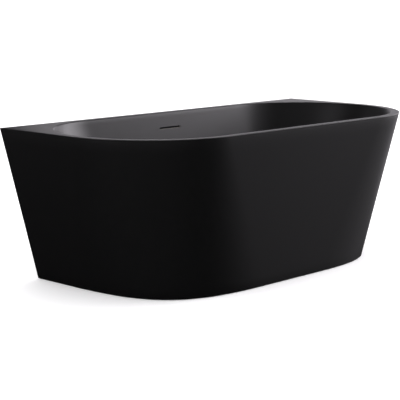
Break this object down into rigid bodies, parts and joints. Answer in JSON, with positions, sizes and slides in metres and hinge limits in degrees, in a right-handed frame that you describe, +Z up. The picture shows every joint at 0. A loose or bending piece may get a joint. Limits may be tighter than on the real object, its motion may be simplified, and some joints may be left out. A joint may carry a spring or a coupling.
{
  "type": "freestanding bathtub",
  "caption": "Matt back-to-wall D-shaped freestanding bathtub with a flat rim, stadium bowl, slot overflow, pop-up waste and levelling feet under a tapered skirt.",
  "frame": {"origin": "on the floor, under the centre of the overall box", "axes": "+X along the wall to the right as seen from the room, +Y towards the wall, +Z up"},
  "size_m": [1.7, 0.8, 0.604],
  "materials": {
    "acrylic_black": "satin matt black acrylic, glass-reinforced behind",
    "board_wood": "raw chipboard, plywood and softwood",
    "rail_steel": "grey powder coat",
    "zinc_steel": "bright zinc plate",
    "black_plastic": "moulded",
    "pad_rubber": "moulded",
    "seal_rubber": "smooth",
    "waste_black": "matt black coating on brass",
    "waste_brass": "turned",
    "white_plastic": "moulded polypropylene",
    "hood_plastic": "moulded",
    "hose_plastic": "corrugated"
  },
  "bodies": {
    "tub": {"inner_basin": "acrylic_black", "outer_skirt": "acrylic_black", "base_board": "board_wood", "back_batten": "board_wood", "corner_board_left": "board_wood", "corner_board_right": "board_wood", "cross_rail_left": "rail_steel", "cross_rail_middle": "rail_steel", "cross_rail_right": "rail_steel", "upright_left": "rail_steel", "upright_right": "rail_steel", "board_screws": "zinc_steel", "batten_screws": "zinc_steel", "bracket_screws": "zinc_steel", "side_strap_left": "zinc_steel", "side_strap_right": "zinc_steel", "wall_bracket_left": "zinc_steel", "wall_bracket_right": "zinc_steel", "skirt_bracket_left": "zinc_steel", "skirt_bracket_middle": "zinc_steel", "skirt_bracket_right": "zinc_steel", "foot_sockets": "zinc_steel", "lock_nuts": "zinc_steel", "hose_clips": "zinc_steel", "plug_spring": "zinc_steel", "rail_end_caps": "black_plastic", "waste_top_seal": "seal_rubber", "waste_bottom_seal": "seal_rubber", "overflow_seal": "seal_rubber", "trap_seal": "seal_rubber", "outlet_seal": "seal_rubber", "waste_flange": "waste_black", "plug_core": "waste_brass", "waste_body": "white_plastic", "trap_union_nut": "white_plastic", "trap_body": "white_plastic", "trap_cleanout": "white_plastic", "outlet_nut": "white_plastic", "outlet_pipe": "white_plastic", "overflow_hood": "hood_plastic", "overflow_hose": "hose_plastic"},
    "plug": {"plug_cap": "waste_black", "plug_seal": "seal_rubber", "plug_stem": "waste_brass"},
    "pad_1": {"foot_pad_1": "pad_rubber"},
    "stud_1": {"foot_stud_1": "zinc_steel"},
    "pad_2": {"foot_pad_2": "pad_rubber"},
    "stud_2": {"foot_stud_2": "zinc_steel"},
    "pad_3": {"foot_pad_3": "pad_rubber"},
    "stud_3": {"foot_stud_3": "zinc_steel"},
    "pad_4": {"foot_pad_4": "pad_rubber"},
    "stud_4": {"foot_stud_4": "zinc_steel"},
    "pad_5": {"foot_pad_5": "pad_rubber"},
    "stud_5": {"foot_stud_5": "zinc_steel"},
    "pad_6": {"foot_pad_6": "pad_rubber"},
    "stud_6": {"foot_stud_6": "zinc_steel"}
  },
  "joints": [
    {"name": "plug_press", "type": "slide", "parent": "tub", "child": "plug", "axis": [0, 0, 1], "range_m": [-0.009, 0], "stiffness_N_per_m": 300, "springref_m": 0.012, "deforming": ["plug_spring"]},
    {"name": "foot_1_height", "type": "slide", "parent": "tub", "child": "pad_1", "axis": [0, 0, 1], "range_m": [-0.02, 0.01]},
    {"name": "foot_1_turn", "type": "hinge", "parent": "pad_1", "child": "stud_1", "pos_m": [-0.47, -0.19, 0], "axis": [0, 0, 1], "range_deg": [-4801, 2401]},
    {"name": "foot_2_height", "type": "slide", "parent": "tub", "child": "pad_2", "axis": [0, 0, 1], "range_m": [-0.02, 0.01]},
    {"name": "foot_2_turn", "type": "hinge", "parent": "pad_2", "child": "stud_2", "pos_m": [0.19, -0.19, 0], "axis": [0, 0, 1], "range_deg": [-4801, 2401]},
    {"name": "foot_3_height", "type": "slide", "parent": "tub", "child": "pad_3", "axis": [0, 0, 1], "range_m": [-0.02, 0.01]},
    {"name": "foot_3_turn", "type": "hinge", "parent": "pad_3", "child": "stud_3", "pos_m": [0.47, -0.19, 0], "axis": [0, 0, 1], "range_deg": [-4801, 2401]},
    {"name": "foot_4_height", "type": "slide", "parent": "tub", "child": "pad_4", "axis": [0, 0, 1], "range_m": [-0.02, 0.01]},
    {"name": "foot_4_turn", "type": "hinge", "parent": "pad_4", "child": "stud_4", "pos_m": [-0.47, 0.225, 0], "axis": [0, 0, 1], "range_deg": [-4801, 2401]},
    {"name": "foot_5_height", "type": "slide", "parent": "tub", "child": "pad_5", "axis": [0, 0, 1], "range_m": [-0.02, 0.01]},
    {"name": "foot_5_turn", "type": "hinge", "parent": "pad_5", "child": "stud_5", "pos_m": [0.19, 0.225, 0], "axis": [0, 0, 1], "range_deg": [-4801, 2401]},
    {"name": "foot_6_height", "type": "slide", "parent": "tub", "child": "pad_6", "axis": [0, 0, 1], "range_m": [-0.02, 0.01]},
    {"name": "foot_6_turn", "type": "hinge", "parent": "pad_6", "child": "stud_6", "pos_m": [0.47, 0.225, 0], "axis": [0, 0, 1], "range_deg": [-4801, 2401]}
  ],
  "couplings": [
    {"joint": "foot_1_turn", "follows": "foot_1_height", "rad_per_m": 4188.8},
    {"joint": "foot_2_turn", "follows": "foot_2_height", "rad_per_m": 4188.8},
    {"joint": "foot_3_turn", "follows": "foot_3_height", "rad_per_m": 4188.8},
    {"joint": "foot_4_turn", "follows": "foot_4_height", "rad_per_m": 4188.8},
    {"joint": "foot_5_turn", "follows": "foot_5_height", "rad_per_m": 4188.8},
    {"joint": "foot_6_turn", "follows": "foot_6_height", "rad_per_m": 4188.8}
  ]
}
